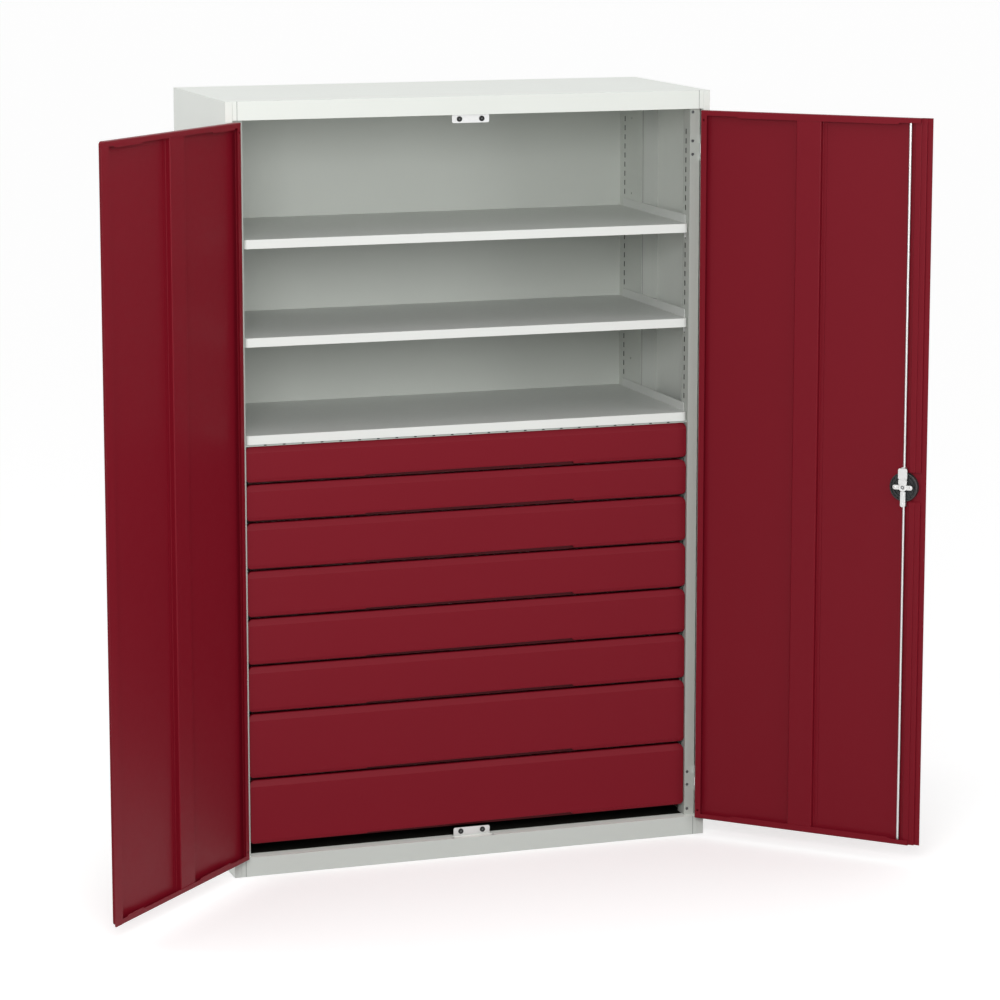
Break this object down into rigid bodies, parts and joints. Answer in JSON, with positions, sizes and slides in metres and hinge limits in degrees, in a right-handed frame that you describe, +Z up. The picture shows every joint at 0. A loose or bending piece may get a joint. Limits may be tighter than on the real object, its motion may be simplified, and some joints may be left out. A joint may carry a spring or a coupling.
{
  "type": "tool cabinet",
  "caption": "Tall steel tool cabinet with hinged doors, a turning lock with rods, adjustable shelves above and full-width drawers on telescopic runners below.",
  "frame": {"origin": "centre of the cabinet's footprint on the floor", "axes": "+X to the viewer's right, +Y from the doors to the back, +Z up"},
  "size_m": [2.145, 1.0279, 2],
  "materials": {
    "carcass_paint": "fine textured light grey powder coat",
    "inner_paint": "fine textured light grey powder coat",
    "shelf_paint": "light grey powder coat",
    "drawer_paint": "light grey powder coat",
    "red_paint": "deep red powder coat",
    "zinc": "zinc plated",
    "black_plastic": "moulded black plastic",
    "rubber": "matt rubber"
  },
  "bodies": {
    "cabinet": {"side_panel_left": "carcass_paint", "side_panel_right": "carcass_paint", "back_panel": "inner_paint", "roof_panel": "carcass_paint", "base_panel": "carcass_paint", "front_post_left": "inner_paint", "front_post_right": "inner_paint", "rear_post_left": "inner_paint", "rear_post_right": "inner_paint", "slotted_rail": "inner_paint", "shelf_lower": "shelf_paint", "shelf_middle": "shelf_paint", "shelf_upper": "shelf_paint", "shelf_clips": "zinc", "door_stop_plates": "zinc", "door_stop_buffers": "rubber", "hinge_frame_leaves": "zinc", "hinge_pins": "zinc", "frame_screws": "zinc", "drawer_runners_fixed": "zinc"},
    "door_left": {"door_left_shell": "red_paint", "door_left_stiffener": "red_paint", "door_left_closing_strip": "red_paint", "door_left_hinge_leaves": "zinc"},
    "door_right": {"door_right_shell": "red_paint", "door_right_stiffener": "red_paint", "door_right_hinge_leaves": "zinc", "lock_housing": "black_plastic", "rod_bushes": "black_plastic"},
    "lock": {"lock_knob": "black_plastic", "lock_cam": "zinc", "cam_screw": "zinc"},
    "key": {"key_barrel": "zinc"},
    "rod_upper": {"lock_rod_upper": "zinc"},
    "rod_lower": {"lock_rod_lower": "zinc"},
    "drawer_1": {"drawer_1_front": "red_paint", "drawer_1_box": "drawer_paint"},
    "runner_1": {"drawer_1_slides": "zinc"},
    "drawer_2": {"drawer_2_front": "red_paint", "drawer_2_box": "drawer_paint"},
    "runner_2": {"drawer_2_slides": "zinc"},
    "drawer_3": {"drawer_3_front": "red_paint", "drawer_3_box": "drawer_paint"},
    "runner_3": {"drawer_3_slides": "zinc"},
    "drawer_4": {"drawer_4_front": "red_paint", "drawer_4_box": "drawer_paint"},
    "runner_4": {"drawer_4_slides": "zinc"},
    "drawer_5": {"drawer_5_front": "red_paint", "drawer_5_box": "drawer_paint"},
    "runner_5": {"drawer_5_slides": "zinc"},
    "drawer_6": {"drawer_6_front": "red_paint", "drawer_6_box": "drawer_paint"},
    "runner_6": {"drawer_6_slides": "zinc"},
    "drawer_7": {"drawer_7_front": "red_paint", "drawer_7_box": "drawer_paint"},
    "runner_7": {"drawer_7_slides": "zinc"},
    "drawer_8": {"drawer_8_front": "red_paint", "drawer_8_box": "drawer_paint"},
    "runner_8": {"drawer_8_slides": "zinc"}
  },
  "joints": [
    {"name": "door_left_hinge", "type": "hinge", "parent": "cabinet", "child": "door_left", "pos_m": [-0.6306, -0.2798, 1.0005], "axis": [0, 0, -1], "range_deg": [-135, 35]},
    {"name": "door_right_hinge", "type": "hinge", "parent": "cabinet", "child": "door_right", "pos_m": [0.6306, -0.2798, 1.0005], "axis": [0, 0, 1], "range_deg": [-135, 35]},
    {"name": "rod_upper_slide", "type": "slide", "parent": "door_right", "child": "rod_upper", "axis": [0, 0, -1], "range_m": [-0.02, 0]},
    {"name": "rod_lower_slide", "type": "slide", "parent": "door_right", "child": "rod_lower", "axis": [0, 0, 1], "range_m": [-0.0201, 0]},
    {"name": "lock_turn", "type": "hinge", "parent": "door_right", "child": "lock", "pos_m": [1.03351, -0.6895, 1.0005], "axis": [-0.7071, -0.7071, 0], "range_deg": [-90, 0]},
    {"name": "key_turn", "type": "hinge", "parent": "lock", "child": "key", "pos_m": [1.03351, -0.6895, 1.0005], "axis": [-0.7071, -0.7071, 0], "range_deg": [0, 90]},
    {"name": "drawer_1_slide", "type": "slide", "parent": "cabinet", "child": "drawer_1", "axis": [0, -1, 0], "range_m": [0, 0.45]},
    {"name": "runner_1_slide", "type": "slide", "parent": "cabinet", "child": "runner_1", "axis": [0, -1, 0], "range_m": [0, 0.2251]},
    {"name": "drawer_2_slide", "type": "slide", "parent": "cabinet", "child": "drawer_2", "axis": [0, -1, 0], "range_m": [0, 0.45]},
    {"name": "runner_2_slide", "type": "slide", "parent": "cabinet", "child": "runner_2", "axis": [0, -1, 0], "range_m": [0, 0.2251]},
    {"name": "drawer_3_slide", "type": "slide", "parent": "cabinet", "child": "drawer_3", "axis": [0, -1, 0], "range_m": [0, 0.45]},
    {"name": "runner_3_slide", "type": "slide", "parent": "cabinet", "child": "runner_3", "axis": [0, -1, 0], "range_m": [0, 0.2251]},
    {"name": "drawer_4_slide", "type": "slide", "parent": "cabinet", "child": "drawer_4", "axis": [0, -1, 0], "range_m": [0, 0.45]},
    {"name": "runner_4_slide", "type": "slide", "parent": "cabinet", "child": "runner_4", "axis": [0, -1, 0], "range_m": [0, 0.2251]},
    {"name": "drawer_5_slide", "type": "slide", "parent": "cabinet", "child": "drawer_5", "axis": [0, -1, 0], "range_m": [0, 0.45]},
    {"name": "runner_5_slide", "type": "slide", "parent": "cabinet", "child": "runner_5", "axis": [0, -1, 0], "range_m": [0, 0.2251]},
    {"name": "drawer_6_slide", "type": "slide", "parent": "cabinet", "child": "drawer_6", "axis": [0, -1, 0], "range_m": [0, 0.45]},
    {"name": "runner_6_slide", "type": "slide", "parent": "cabinet", "child": "runner_6", "axis": [0, -1, 0], "range_m": [0, 0.2251]},
    {"name": "drawer_7_slide", "type": "slide", "parent": "cabinet", "child": "drawer_7", "axis": [0, -1, 0], "range_m": [0, 0.45]},
    {"name": "runner_7_slide", "type": "slide", "parent": "cabinet", "child": "runner_7", "axis": [0, -1, 0], "range_m": [0, 0.2251]},
    {"name": "drawer_8_slide", "type": "slide", "parent": "cabinet", "child": "drawer_8", "axis": [0, -1, 0], "range_m": [0, 0.45]},
    {"name": "runner_8_slide", "type": "slide", "parent": "cabinet", "child": "runner_8", "axis": [0, -1, 0], "range_m": [0, 0.2251]}
  ],
  "couplings": [
    {"joint": "lock_turn", "follows": "rod_upper_slide", "rad_per_m": 78.54},
    {"joint": "rod_lower_slide", "follows": "rod_upper_slide", "ratio": 1},
    {"joint": "runner_1_slide", "follows": "drawer_1_slide", "ratio": 0.5},
    {"joint": "runner_2_slide", "follows": "drawer_2_slide", "ratio": 0.5},
    {"joint": "runner_3_slide", "follows": "drawer_3_slide", "ratio": 0.5},
    {"joint": "runner_4_slide", "follows": "drawer_4_slide", "ratio": 0.5},
    {"joint": "runner_5_slide", "follows": "drawer_5_slide", "ratio": 0.5},
    {"joint": "runner_6_slide", "follows": "drawer_6_slide", "ratio": 0.5},
    {"joint": "runner_7_slide", "follows": "drawer_7_slide", "ratio": 0.5},
    {"joint": "runner_8_slide", "follows": "drawer_8_slide", "ratio": 0.5}
  ]
}
